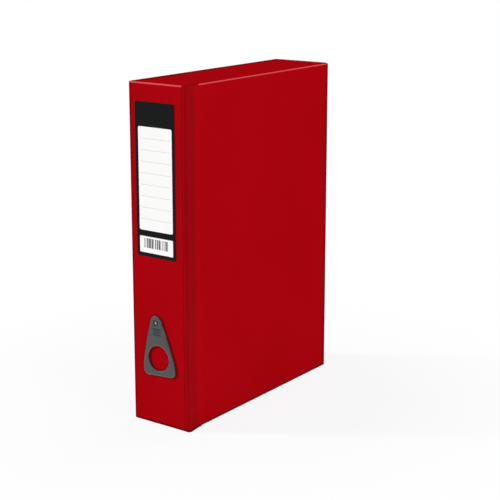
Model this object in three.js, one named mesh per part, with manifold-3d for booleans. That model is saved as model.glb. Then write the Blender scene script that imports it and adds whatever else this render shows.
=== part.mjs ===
// Foolscap box file: a lidded case of covered board that stands on a shelf with its spine
// outwards. Millimetres, +Z up, origin at the middle of the underside. The spine faces -Y,
// the hinged lid faces +X, the base board faces -X and the fore-edge faces +Y.
import * as THREE from 'three';
import { mergeVertices } from 'three/addons/utils/BufferGeometryUtils.js';
import Module from 'manifold-3d';

const wasm = await Module();
wasm.setup();

// Case
const caseWidth = 76; // across the spine, X
const caseDepth = 265; // spine to fore-edge, Y
const caseHeight = 368; // Z
const boardThickness = 2.5; // covered greyboard of base, spine and lid
const boardEdge = 1.1; // rounding of a covered board's edges
const boardCorner = 1.6; // corner radius of a covered board
const wallThickness = 2.5; // end walls and fore-edge wall
const liningThickness = 0.3;
const liningMargin = 4; // covering that shows round the lid lining
const fitGap = 0.3; // between the lid and what it closes on
const blindLeft = 0.6; // board left under a blind rivet hole

// Hinge side: a rounded rail at the spine corner, then the bare covering that flexes
const railWidth = 6; // on the spine face
const railDepth = 6.5; // on the lid side
const railRadius = 3.4; // outer corner
const railProud = 2.2; // how far the rail stands above the lid
const railSlope = THREE.MathUtils.degToRad(9); // its top falls away towards the lid
const railLandWidth = 9; // inner leg glued behind the spine board
const railLandThickness = 2.4;
const jointWidth = 10.5; // flexing strip between rail and lid board
const coveringThickness = 0.6;
const coveringDip = 0.3; // how far the strip sags below a straight line

// Spine label
const labelWidth = 52.6;
const labelHeight = 163.3;
const labelFromTop = 19.9;
const labelFromLeft = 8;
const labelThickness = 0.25;
const labelCorner = 1.6;
const panelWidth = 44.8;
const writingHeight = 109.4;
const writingFromTop = 25.8;
const writingCorner = 2;
const lowerHeight = 17.6;
const lowerFromBottom = 4;
const lowerCorner = 0.8;
const panelGap = 0.05;

// Ring pull, measured across and down from its rivet
const pullRivetFromLeft = 33.2;
const pullRivetHeight = 113.8;
const pullTilt = THREE.MathUtils.degToRad(4.5); // it hangs a little askew
const pullThickness = 2.3;
const pullEdge = 0.8;
const pullTopRadius = 7.9;
const pullShoulderHalf = 12.9; // half width at the step
const pullShoulderDrop = 14;
const pullHipHalf = 20.6;
const pullHipDrop = 41;
const pullFootHalf = 21.8;
const pullFootCorner = 7;
const pullLength = 58.3; // rivet to foot
const fingerHoleRadius = 13.8;
const fingerHoleDrop = 38.8;
const neckTop = 5.6; // thin flexing neck
const neckFold = 10; // line that the loop turns about
const neckRecess = 0.6;
const neckSlit = 0.3;
const ribCount = 5;
const ribHalfWidth = 5.3;
const ribGroove = 0.7;
const ribDepth = 0.5;
const pullBackGap = 0.3;
const pullBoreRadius = 3.4; // counterbore that the rivet's head sits in
const pullBoreDepth = 0.7;

// Rivets: head radius, head height, shank radius
const pullRivet = { head: 2.6, rise: 1.2, shank: 1.6 };
const plateRivet = { head: 3, rise: 1, shank: 1.5 };
const catchRivet = { head: 2.4, rise: 0.8, shank: 1.2 };
const rivetGap = 0.1;
const washerRadius = 5;
const washerThickness = 0.8;

// Lock spring on the base board
const springCentre = caseHeight / 2;
const plateFromSpine = 14.5; // spine face to the plate's near edge
const plateLength = 60;
const plateWidth = 92;
const plateThickness = 1;
const plateCorner = 5;
const plateRivetInset = 6;
const lightenHole = 7;
const beadSpacing = 48; // two stiffening beads pressed up from the plate
const beadInset = 6;
const beadHalf = 2.5;
const beadHeight = 0.6;
const pinFromPlateEdge = 18;
const pinHeight = 6.8; // pin axis above the plate
const pinRadius = 2;
const pinHead = 3.1;
const pinHeadThickness = 1.2;
const pinGap = 0.15;
const earInset = 10; // plate end to the ear's inner face
const earThickness = 1.2;
const earHalfBase = 8;
const earRadius = 4.6;
const bailWire = 1.6; // radius
const bailReach = 105; // pin to cross bar
const eyeInset = 4; // ear to the bail's eye
const bailBend = 7;
const eyeTurn = THREE.MathUtils.degToRad(290);
const barRadius = 4;
const barInset = 12; // bail arm to the end of the sleeve
const barBore = 1.85;
const coilWire = 0.8; // radius
const coilRadius = 4; // centre line
const coilTurns = 6;
const coilPitch = 2;
const coilInset = 4; // from the bail's eye to the first turn
const coilLeg = 17;
const coilHook = 5; // how far the moving leg reaches across the arm
const coilRun = 0.3; // running gap of the legs

// Catch on the fore-edge: a domed stud in a moulded socket
const socketLength = 40;
const socketPlate = 1.8;
const socketDrop = 22;
const socketBlockLength = 20;
const socketReach = 15; // wall to the block's inner face
const socketBlockDrop = 9;
const socketClear = 4.6; // lid lining to the block's top
const studFromWall = 8;
const studHead = 3.5;
const studNeck = 2.5;
const studFlange = 7;
const studFlangeThickness = 1.2;
const studLength = 9.8;
const studClearance = 0.7;
const socketCorner = 2;

// Levels and planes worked out from the sizes above
const baseX = -caseWidth / 2;
const railX = caseWidth / 2;
const spineY = -caseDepth / 2;
const foreY = caseDepth / 2;
const floorX = baseX + boardThickness;
const lidX = railX - railProud;
const lidInnerX = lidX - boardThickness;
const roofX = lidInnerX - liningThickness;
const wallEdgeX = roofX - fitGap / 3;
const boardBackY = spineY + boardThickness;
const spineEdgeX = railX - railWidth;
const railY = spineY + railDepth;
const lidY = railY + jointWidth;
const wallY = foreY - wallThickness;
const plateX = floorX + liningThickness;
const plateTopX = plateX + plateThickness;
const pinX = plateTopX + pinHeight;
const pinY = spineY + plateFromSpine + pinFromPlateEdge;
const earSpacing = plateWidth - 2 * earInset;
const bailHalf = earSpacing / 2 - eyeInset; // half the distance between the arms
const barHalf = bailHalf - barInset;
const liningTopX = spineEdgeX - railLandWidth - fitGap; // the wall lining stops under the rail's leg
const linedWallY = wallY - liningThickness;
const rivetX = baseX + pullRivetFromLeft;

// Finishes
const finish = (color, roughness, metalness = 0) =>
  new THREE.MeshStandardMaterial({ color, roughness, metalness });
const redCovering = () => finish(0xa5080f, 0.42);
const hingeCovering = () => finish(0x960c12, 0.45);
const lining = () => finish(0xd9d6cf, 0.8);
const darkPlastic = () => finish(0x4d5252, 0.45);
const brightSteel = () => finish(0xc9cbcd, 0.28, 1);

const file = new THREE.Group();

// Directions that carry a flat outline (u, v) and its thickness to their place
const X = new THREE.Vector3(1, 0, 0);
const Y = new THREE.Vector3(0, 1, 0);
const Z = new THREE.Vector3(0, 0, 1);
const basis = (u, v, w) => new THREE.Matrix4().makeBasis(u, v, w);
const upright = basis(Y, Z, X); // outline in Y and Z, thickness along +X
const facing = basis(X, Z, Y.clone().negate()); // outline in X and Z, thickness along -Y
const level = basis(X, Y, Z); // outline in X and Y, thickness along +Z

function mesh(name, geometry, material, parent = file) {
  const piece = new THREE.Mesh(geometry, material);
  piece.name = name;
  parent.add(piece);
  return piece;
}

// A flat sheet from an outline, from thickness level a to b, with its rims rounded by edge
function sheet(shape, frame, a, b, edge = 0, edgeSteps = 2, arcSteps = 8) {
  const geometry = new THREE.ExtrudeGeometry(shape, {
    depth: b - a - 2 * edge,
    bevelEnabled: edge > 0,
    bevelThickness: edge,
    bevelSize: edge,
    bevelOffset: -edge,
    bevelSegments: edgeSteps,
    curveSegments: arcSteps,
  });
  geometry.translate(0, 0, a + edge);
  return geometry.applyMatrix4(frame);
}

// A covered board: a sheet with soft edges
const coveredBoard = (outline, frame, a, b) => sheet(outline, frame, a, b, boardEdge, 3, 3);

// Rectangle between two corners, square or with round corners
function rectangle(u0, v0, u1, v1, radius, shape = new THREE.Shape()) {
  if (radius === 0) {
    return shape.setFromPoints([[u0, v0], [u1, v0], [u1, v1], [u0, v1]].map(
      ([u, v]) => new THREE.Vector2(u, v),
    ));
  }
  shape.moveTo(u0 + radius, v0);
  shape.lineTo(u1 - radius, v0);
  shape.absarc(u1 - radius, v0 + radius, radius, -Math.PI / 2, 0, false);
  shape.lineTo(u1, v1 - radius);
  shape.absarc(u1 - radius, v1 - radius, radius, 0, Math.PI / 2, false);
  shape.lineTo(u0 + radius, v1);
  shape.absarc(u0 + radius, v1 - radius, radius, Math.PI / 2, Math.PI, false);
  shape.lineTo(u0, v0 + radius);
  shape.absarc(u0 + radius, v0 + radius, radius, Math.PI, 1.5 * Math.PI, false);
  return shape;
}

function block(x0, y0, z0, x1, y1, z1) {
  const geometry = new THREE.BoxGeometry(x1 - x0, y1 - y0, z1 - z0);
  return geometry.translate((x0 + x1) / 2, (y0 + y1) / 2, (z0 + z1) / 2);
}

// A round bar of one radius from point a, along a unit direction
function bar(radius, from, direction, length, sides = 24) {
  const geometry = new THREE.CylinderGeometry(radius, radius, length, sides);
  geometry.translate(0, length / 2, 0);
  geometry.applyQuaternion(new THREE.Quaternion().setFromUnitVectors(Y, direction));
  return geometry.translate(from.x, from.y, from.z);
}

// A turned piece: profile points are (radius, distance along the axis)
function turned(profile, from, direction, sides = 24) {
  const points = profile.map(([radius, along]) => new THREE.Vector2(radius, along));
  const geometry = new THREE.LatheGeometry(points, sides);
  geometry.applyQuaternion(new THREE.Quaternion().setFromUnitVectors(Y, direction));
  return geometry.translate(from.x, from.y, from.z);
}

// Centre line of a bent wire: curves end to end, each with its own number of steps
class WirePath extends THREE.Curve {
  constructor(parts) {
    super();
    this.parts = parts;
    this.steps = parts.reduce((sum, [, steps]) => sum + steps, 0);
  }
  locate(u) {
    let step = u * this.steps;
    for (const [curve, steps] of this.parts) {
      if (step <= steps + 1e-9) return [curve, Math.min(step / steps, 1)];
      step -= steps;
    }
    return [this.parts.at(-1)[0], 1];
  }
  getPointAt(u, target) {
    const [curve, t] = this.locate(u);
    return curve.getPoint(t, target);
  }
  getTangentAt(u, target) {
    const [curve, t] = this.locate(u);
    return curve.getTangent(t, target);
  }
}

function wire(parts, radius, sides = 12) {
  const path = new WirePath(parts);
  const section = new THREE.Shape().absarc(0, 0, radius, 0, 2 * Math.PI, false);
  return new THREE.ExtrudeGeometry(section, {
    steps: path.steps,
    extrudePath: path,
    bevelEnabled: false,
    curveSegments: sides / 2,
  });
}

// Joining and cutting of closed meshes
function solid(geometry) {
  const bare = geometry.clone();
  bare.deleteAttribute('normal');
  bare.deleteAttribute('uv');
  const merged = mergeVertices(bare, 1e-4);
  const triangles = merged.index ? merged.index.array : merged.attributes.position.array.keys();
  return new wasm.Manifold(
    new wasm.Mesh({
      numProp: 3,
      vertProperties: new Float32Array(merged.attributes.position.array),
      triVerts: new Uint32Array(triangles),
    }),
  );
}

function geometryOf(manifold) {
  const result = manifold.getMesh();
  const geometry = new THREE.BufferGeometry();
  geometry.setAttribute('position', new THREE.BufferAttribute(result.vertProperties, 3));
  geometry.setIndex(new THREE.BufferAttribute(result.triVerts, 1));
  geometry.computeVertexNormals();
  return geometry;
}

const cut = (body, ...tools) =>
  geometryOf(tools.reduce((rest, tool) => rest.subtract(solid(tool)), solid(body)));
const join = (...bodies) =>
  geometryOf(bodies.map(solid).reduce((whole, body) => whole.add(body)));
const common = (body, tool) => geometryOf(solid(body).intersect(solid(tool)));

// A rivet seen from its head: the head rises from the seat, the shank goes down into it
function rivet({ head, rise, shank }, depth, seat, outward) {
  const profile = [
    [0, -depth],
    [shank, -depth],
    [shank, 0],
    [head, 0],
    [head, rise * 0.35],
    [head * 0.82, rise * 0.75],
    [head * 0.45, rise * 0.96],
    [0, rise],
  ];
  return turned(profile, seat, outward, 16);
}

const at = (x, y, z) => new THREE.Vector3(x, y, z);

// Base board, with blind holes for the lock spring's rivets
const plateY0 = spineY + plateFromSpine;
const plateY1 = plateY0 + plateLength;
const plateRivetPlaces = [];
for (const y of [plateY0 + plateRivetInset, plateY1 - plateRivetInset]) {
  for (const side of [-1, 1]) {
    plateRivetPlaces.push(at(plateTopX, y, springCentre + side * (plateWidth / 2 - plateRivetInset)));
  }
}
const baseHoles = plateRivetPlaces.map((place) =>
  bar(plateRivet.shank + rivetGap, at(baseX + blindLeft, place.y, place.z), X, boardThickness),
);
const baseOutline = rectangle(boardBackY, 0, foreY, caseHeight, boardCorner);
mesh(
  'base_board',
  cut(coveredBoard(baseOutline, upright, baseX, floorX), ...baseHoles),
  redCovering(),
);

// Spine board, holed for the ring pull's rivet
const spineOutline = rectangle(baseX, 0, spineEdgeX, caseHeight, boardCorner);
const spineHole = bar(
  pullRivet.shank + rivetGap, at(rivetX, spineY - boardEdge, pullRivetHeight), Y,
  boardThickness + 2 * boardEdge,
);
mesh(
  'spine_board',
  cut(coveredBoard(spineOutline, facing, -boardBackY, -spineY), spineHole),
  redCovering(),
);

// Hinge rail: a rounded bead down the corner, its top falling towards the lid, with a leg
// behind the spine board
const railSlopeRun = railDepth - railRadius * (1 + Math.sin(railSlope));
const railEdgeX = railX - railRadius * (1 - Math.cos(railSlope)) - railSlopeRun * Math.tan(railSlope);
const railOutline = new THREE.Shape();
railOutline.moveTo(spineEdgeX, spineY);
railOutline.lineTo(railX - railRadius, spineY);
railOutline.absarc(
  railX - railRadius, spineY + railRadius, railRadius, -Math.PI / 2, railSlope, false,
);
railOutline.lineTo(railEdgeX, railY);
railOutline.lineTo(wallEdgeX, railY);
railOutline.lineTo(wallEdgeX, boardBackY);
railOutline.lineTo(spineEdgeX, boardBackY);
railOutline.closePath();
const railBead = sheet(railOutline, level, 0, caseHeight);
const railLeg = block(
  spineEdgeX - railLandWidth, boardBackY, wallThickness,
  wallEdgeX, boardBackY + railLandThickness, caseHeight - wallThickness,
);
mesh('hinge_rail', join(railBead, railLeg), redCovering());

// End walls and fore-edge wall, standing on the base board
const endOutline = new THREE.Shape();
endOutline.moveTo(floorX, boardBackY);
endOutline.lineTo(wallEdgeX, boardBackY);
endOutline.lineTo(wallEdgeX, wallY);
endOutline.lineTo(floorX, wallY);
endOutline.closePath();
mesh('bottom_wall', sheet(endOutline, level, 0, wallThickness), redCovering());
mesh('top_wall', sheet(endOutline, level, caseHeight - wallThickness, caseHeight), redCovering());

const socketTopX = roofX - socketClear;
const catchRivetX = socketTopX - socketDrop / 2;
const catchRivetPlaces = [-1, 1].map((side) =>
  at(catchRivetX, linedWallY - socketPlate, springCentre + side * (socketLength - socketBlockLength / 2) / 2),
);
const wallHoles = catchRivetPlaces.map((place) =>
  bar(catchRivet.shank + rivetGap, at(place.x, wallY - 1, place.z), Y, wallThickness - blindLeft + 1),
);
mesh(
  'fore_edge_wall',
  cut(block(floorX, wallY, 0, wallEdgeX, foreY, caseHeight), ...wallHoles),
  redCovering(),
);

// Paper lining on the base, holed under the rivets
const baseLiningOutline = rectangle(
  boardBackY, wallThickness, wallY, caseHeight - wallThickness, 0,
);
for (const place of plateRivetPlaces) {
  baseLiningOutline.holes.push(
    new THREE.Path().absarc(place.y, place.z, plateRivet.shank + rivetGap, 0, 2 * Math.PI, true),
  );
}
mesh('base_lining', sheet(baseLiningOutline, upright, floorX, plateX), lining());

// Paper lining round the inside of the spine and the three walls, holed under the catch and
// the ring pull's washer
const liningRing = (inset, x0, x1) => block(
  x0, boardBackY + inset, wallThickness + inset,
  x1, wallY - inset, caseHeight - wallThickness - inset,
);
const pullHole = bar(pullRivet.shank + rivetGap, at(rivetX, boardBackY - 1, pullRivetHeight), Y, 2);
mesh(
  'wall_lining',
  cut(
    liningRing(0, plateX, liningTopX), liningRing(liningThickness, plateX - 1, liningTopX + 1),
    pullHole, ...wallHoles,
  ),
  lining(),
);

// Lid board and its lining
const lidOutline = rectangle(lidY, fitGap, foreY, caseHeight - fitGap, boardCorner);
mesh('lid_board', coveredBoard(lidOutline, upright, lidInnerX, lidX), redCovering());
const lidLiningOutline = rectangle(
  lidY + liningMargin, fitGap + liningMargin,
  foreY - liningMargin, caseHeight - fitGap - liningMargin, boardCorner,
);
mesh('lid_lining', sheet(lidLiningOutline, upright, roofX, lidInnerX), lining());

// Flexing strip of covering: it carries the rail's slope on down to the lid
const jointEnd = lidY - fitGap / 2;
const jointStart = railY + fitGap / 2;
const jointMiddle = (jointStart + jointEnd) / 2;
const jointHigh = railEdgeX;
const jointLow = lidX - boardEdge / 2;
const jointSag = (jointHigh + jointLow) / 2 - 2 * coveringDip;
const coveringOutline = new THREE.Shape();
coveringOutline.moveTo(jointHigh, jointStart);
coveringOutline.quadraticCurveTo(jointSag, jointMiddle, jointLow, jointEnd);
coveringOutline.lineTo(jointLow - coveringThickness, jointEnd);
coveringOutline.quadraticCurveTo(
  jointSag - coveringThickness, jointMiddle, jointHigh - coveringThickness, jointStart,
);
coveringOutline.closePath();
mesh('hinge_covering', sheet(coveringOutline, level, fitGap, caseHeight - fitGap), hingeCovering());

// Spine label: a dark printed border round two white fields
const labelX0 = baseX + labelFromLeft;
const labelX1 = labelX0 + labelWidth;
const labelTop = caseHeight - labelFromTop;
const labelBottom = labelTop - labelHeight;
const panelX0 = (labelX0 + labelX1 - panelWidth) / 2;
const panelX1 = panelX0 + panelWidth;
const writingTop = labelTop - writingFromTop;
const writingBottom = writingTop - writingHeight;
const lowerBottom = labelBottom + lowerFromBottom;
const lowerTop = lowerBottom + lowerHeight;
const labelOutline = rectangle(labelX0, labelBottom, labelX1, labelTop, labelCorner);
labelOutline.holes.push(
  rectangle(panelX0, writingBottom, panelX1, writingTop, writingCorner, new THREE.Path()),
  rectangle(panelX0, lowerBottom, panelX1, lowerTop, lowerCorner, new THREE.Path()),
);
const labelBack = -spineY;
const labelFront = labelBack + labelThickness;
mesh('spine_label', sheet(labelOutline, facing, labelBack, labelFront), finish(0x17171a, 0.35));
const writingOutline = rectangle(
  panelX0 + panelGap, writingBottom + panelGap, panelX1 - panelGap, writingTop - panelGap, writingCorner,
);
mesh('writing_panel', sheet(writingOutline, facing, labelBack, labelFront), finish(0xf6f6f4, 0.5));
const lowerOutline = rectangle(
  panelX0 + panelGap, lowerBottom + panelGap, panelX1 - panelGap, lowerTop - panelGap, lowerCorner,
);
mesh('lower_panel', sheet(lowerOutline, facing, labelBack, labelFront), finish(0xf6f6f4, 0.5));

// Ring pull: one moulding that folds at its ribbed neck, so it is two solids that part
// at the fold. It is drawn upright round its rivet and then turned by its tilt.
const pull = new THREE.Group();
pull.position.set(rivetX, spineY, pullRivetHeight);
pull.rotation.y = -pullTilt;
file.add(pull);

const pullOutline = new THREE.Shape();
pullOutline.moveTo(pullTopRadius, 0);
pullOutline.absarc(0, 0, pullTopRadius, 0, Math.PI, false);
pullOutline.lineTo(-pullShoulderHalf, -pullShoulderDrop);
pullOutline.lineTo(-pullHipHalf, -pullHipDrop);
pullOutline.quadraticCurveTo(
  -pullFootHalf, -(pullHipDrop + pullLength) / 2, -pullFootHalf, -pullLength + pullFootCorner,
);
pullOutline.absarc(
  -pullFootHalf + pullFootCorner, -pullLength + pullFootCorner, pullFootCorner,
  Math.PI, 1.5 * Math.PI, false,
);
pullOutline.lineTo(pullFootHalf - pullFootCorner, -pullLength);
pullOutline.absarc(
  pullFootHalf - pullFootCorner, -pullLength + pullFootCorner, pullFootCorner,
  1.5 * Math.PI, 2 * Math.PI, false,
);
pullOutline.quadraticCurveTo(
  pullFootHalf, -(pullHipDrop + pullLength) / 2, pullHipHalf, -pullHipDrop,
);
pullOutline.lineTo(pullShoulderHalf, -pullShoulderDrop);
pullOutline.closePath();
pullOutline.holes.push(
  new THREE.Path().absarc(0, -fingerHoleDrop, fingerHoleRadius, 0, 2 * Math.PI, true),
  new THREE.Path().absarc(0, 0, pullRivet.shank + rivetGap, 0, 2 * Math.PI, true),
);
const pullReach = pullFootHalf + pullTopRadius;
const neckFront = -(pullThickness - neckRecess);
const ribTools = [];
for (let i = 0; i < ribCount; i += 1) {
  const drop = neckTop + ((i + 0.5) * (pullShoulderDrop - neckTop)) / ribCount;
  ribTools.push(
    block(-ribHalfWidth, -pullThickness, -drop - ribGroove / 2,
      ribHalfWidth, neckFront + ribDepth, -drop + ribGroove / 2),
  );
}
const neckTool = block(
  -pullReach, -pullThickness - 1, -pullShoulderDrop, pullReach, neckFront, -neckTop,
);
const pullBore = bar(
  pullBoreRadius, at(0, -pullThickness - 1, 0), Y, pullBoreDepth + 1,
);
const pullBlank = cut(
  sheet(pullOutline, facing, 0, pullThickness, pullEdge), neckTool, pullBore, ...ribTools,
);
const pullSeat = pullThickness - pullBoreDepth;
const linedSpine = boardThickness + liningThickness;
const tabSpace = block(
  -pullReach, -pullThickness - 1, -neckFold + neckSlit / 2, pullReach, 1, pullReach,
);
const loopSpace = block(
  -pullReach, -pullThickness - 1, -pullLength - 1, pullReach, -pullBackGap, -neckFold - neckSlit / 2,
);
mesh('pull_tab', common(pullBlank, tabSpace), darkPlastic(), pull);
mesh('ring_pull', common(pullBlank, loopSpace), darkPlastic(), pull);
mesh(
  'pull_rivet',
  rivet(pullRivet, pullSeat + linedSpine + washerThickness, at(0, -pullSeat, 0), Y.clone().negate()),
  brightSteel(), pull,
);
const washerBore = pullRivet.shank + rivetGap;
mesh(
  'pull_washer',
  turned(
    [[washerBore, 0], [washerRadius, 0], [washerRadius, washerThickness],
      [washerBore, washerThickness], [washerBore, 0]],
    at(0, linedSpine, 0), Y,
  ),
  brightSteel(), pull,
);

// Lock spring plate: pressed steel with two upstanding ears that carry the pivot pin
const springPlateOutline = rectangle(
  plateY0, springCentre - plateWidth / 2, plateY1, springCentre + plateWidth / 2, plateCorner,
);
for (const place of plateRivetPlaces) {
  springPlateOutline.holes.push(
    new THREE.Path().absarc(place.y, place.z, plateRivet.shank + rivetGap, 0, 2 * Math.PI, true),
  );
}
springPlateOutline.holes.push(
  new THREE.Path().absarc(
    plateY1 - plateRivetInset - lightenHole, springCentre, lightenHole, 0, 2 * Math.PI, true,
  ),
);
function ear(side) {
  const outline = new THREE.Shape();
  outline.moveTo(plateX + plateThickness / 2, pinY - earHalfBase);
  outline.lineTo(pinX, pinY - earRadius);
  outline.absarc(pinX, pinY, earRadius, -Math.PI / 2, Math.PI / 2, false);
  outline.lineTo(plateX + plateThickness / 2, pinY + earHalfBase);
  outline.closePath();
  outline.holes.push(new THREE.Path().absarc(pinX, pinY, pinRadius + pinGap, 0, 2 * Math.PI, true));
  const inner = earSpacing / 2;
  const outer = inner + earThickness;
  const [a, b] = side > 0 ? [inner, outer] : [-outer, -inner];
  return sheet(outline, level, springCentre + a, springCentre + b);
}
function bead(side) {
  const z = springCentre + (side * beadSpacing) / 2;
  const outline = rectangle(
    plateY0 + beadInset, z - beadHalf, plateY1 - beadInset, z + beadHalf, beadHalf * 0.96,
  );
  return sheet(outline, upright, plateX + plateThickness / 2, plateTopX + beadHeight, beadHeight / 2);
}
mesh(
  'spring_plate',
  join(
    sheet(springPlateOutline, upright, plateX, plateTopX), ear(1), ear(-1), bead(1), bead(-1),
  ),
  brightSteel(),
);
plateRivetPlaces.forEach((place, i) => {
  const depth = plateThickness + liningThickness + boardThickness - blindLeft - rivetGap;
  mesh(`spring_plate_rivet_${i + 1}`, rivet(plateRivet, depth, place, X), brightSteel());
});

// Pivot pin with a formed head outside each ear
const pinHalf = earSpacing / 2 + earThickness + pinGap;
mesh(
  'pivot_pin',
  turned(
    [[0, -pinHalf - pinHeadThickness], [pinHead, -pinHalf - pinHeadThickness], [pinHead, -pinHalf],
      [pinRadius, -pinHalf], [pinRadius, pinHalf], [pinHead, pinHalf],
      [pinHead, pinHalf + pinHeadThickness], [0, pinHalf + pinHeadThickness]],
    at(pinX, pinY, springCentre), Z,
  ),
  brightSteel(),
);

// Bail: one bent wire with an eye round the pin at each end and a bar across its reach
const eyeRadius = pinRadius + pinGap + bailWire;
const armX = pinX - eyeRadius;
class EyeCurve extends THREE.Curve {
  constructor(side) {
    super();
    this.side = side;
  }
  getPoint(t, target = new THREE.Vector3()) {
    const left = this.side < 0 ? 1 - t : t;
    const angle = Math.PI + left * eyeTurn;
    return target.set(
      pinX + eyeRadius * Math.cos(angle),
      pinY + eyeRadius * Math.sin(angle),
      springCentre + this.side * bailHalf,
    );
  }
}
const barY = pinY + bailReach;
const corner = (from, middle, to) => new THREE.QuadraticBezierCurve3(from, middle, to);
const armPoint = (y, side, inset = 0) => at(armX, y, springCentre + side * (bailHalf - inset));
const bailParts = [
  [new EyeCurve(-1), 14],
  [new THREE.LineCurve3(armPoint(pinY, -1), armPoint(barY - bailBend, -1)), 1],
  [corner(armPoint(barY - bailBend, -1), armPoint(barY, -1), armPoint(barY, -1, bailBend)), 6],
  [new THREE.LineCurve3(armPoint(barY, -1, bailBend), armPoint(barY, 1, bailBend)), 1],
  [corner(armPoint(barY, 1, bailBend), armPoint(barY, 1), armPoint(barY - bailBend, 1)), 6],
  [new THREE.LineCurve3(armPoint(barY - bailBend, 1), armPoint(pinY, 1)), 1],
  [new EyeCurve(1), 14],
];
mesh('spring_bail', wire(bailParts, bailWire), brightSteel());

// Press bar: a sleeve on the bail's cross wire
mesh(
  'press_bar',
  turned(
    [[barBore, -barHalf], [barRadius - 1, -barHalf], [barRadius, -barHalf + 1], [barRadius, barHalf - 1],
      [barRadius - 1, barHalf], [barBore, barHalf], [barBore, -barHalf]],
    at(armX, barY, springCentre), Z,
  ),
  darkPlastic(),
);

// Torsion springs: a coil on the pin, one leg on the plate and one across the bail's arm
class Coil extends THREE.Curve {
  constructor(side) {
    super();
    this.side = side;
  }
  getPoint(t, target = new THREE.Vector3()) {
    const angle = t * (coilTurns + 0.5) * 2 * Math.PI;
    return target.set(
      pinX + coilRadius * Math.cos(angle),
      pinY - coilRadius * Math.sin(angle),
      coilZ(this.side, t * coilTurns * coilPitch),
    );
  }
}
const coilZ = (side, inset) => springCentre + side * (bailHalf - coilInset - inset);
function torsionSpring(side) {
  const hookX = armX + bailWire + coilRun + coilWire;
  const footX = plateTopX + coilRun + coilWire;
  const z = (inset) => coilZ(side, inset);
  const legY = pinY + coilLeg;
  const last = z(coilTurns * coilPitch);
  const shoulder = at(hookX, legY, z(0));
  const hook = at(hookX, legY, z(-coilInset - coilHook));
  const bend = at(hookX, legY - 2, z(0));
  const turn = at(hookX, legY, z(-2));
  const parts = [
    [new THREE.LineCurve3(hook, turn), 1],
    [corner(turn, shoulder, bend), 3],
    [new THREE.CubicBezierCurve3(
      bend, at(hookX, legY - coilLeg / 2, z(0)),
      at(pinX + coilRadius, pinY + coilLeg / 2, z(0)), at(pinX + coilRadius, pinY, z(0)),
    ), 5],
    [new Coil(side), Math.round(coilTurns * 10)],
    [new THREE.CubicBezierCurve3(
      at(pinX - coilRadius, pinY, last), at(pinX - coilRadius, pinY + coilLeg / 3, last),
      at(footX, pinY + coilLeg / 3, last), at(footX, pinY + coilLeg * 0.7, last),
    ), 4],
    [new THREE.LineCurve3(at(footX, pinY + coilLeg * 0.7, last), at(footX, legY, last)), 1],
  ];
  return wire(parts, coilWire, 8);
}
mesh('torsion_spring_top', torsionSpring(1), brightSteel());
mesh('torsion_spring_bottom', torsionSpring(-1), brightSteel());

// Catch socket: moulded bracket riveted inside the fore-edge wall, bored for the stud
const studY = linedWallY - studFromWall;
const socketPlateOutline = rectangle(
  socketTopX - socketDrop, springCentre - socketLength / 2,
  socketTopX, springCentre + socketLength / 2, socketCorner,
);
for (const place of catchRivetPlaces) {
  socketPlateOutline.holes.push(
    new THREE.Path().absarc(place.x, place.z, catchRivet.shank + rivetGap, 0, 2 * Math.PI, true),
  );
}
const socketBlockOutline = rectangle(
  linedWallY - socketReach, springCentre - socketBlockLength / 2,
  linedWallY - socketPlate / 2, springCentre + socketBlockLength / 2, socketCorner / 4,
);
mesh(
  'catch_socket',
  cut(
    join(
      sheet(socketPlateOutline, facing, -linedWallY, -linedWallY + socketPlate),
      sheet(socketBlockOutline, upright, socketTopX - socketBlockDrop, socketTopX),
    ),
    bar(studHead + studClearance, at(socketTopX - socketBlockDrop + socketPlate, studY, springCentre),
      X, socketBlockDrop),
  ),
  darkPlastic(),
);
catchRivetPlaces.forEach((place, i) => {
  const depth = socketPlate + liningThickness + wallThickness - blindLeft - rivetGap;
  mesh(`catch_rivet_${i + 1}`, rivet(catchRivet, depth, place, Y.clone().negate()), brightSteel());
});

// Catch stud under the lid
mesh(
  'catch_stud',
  turned(
    [[0, 0], [studFlange, 0], [studFlange, studFlangeThickness], [studNeck, studFlangeThickness + 0.6],
      [studNeck, studLength * 0.5], [studHead, studLength * 0.64], [studHead, studLength * 0.8],
      [studHead * 0.7, studLength * 0.95], [0, studLength]],
    at(roofX, studY, springCentre), X.clone().negate(),
  ),
  darkPlastic(),
);

export default file;
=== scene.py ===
from math import cos, pi, radians, sin, tan

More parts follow.
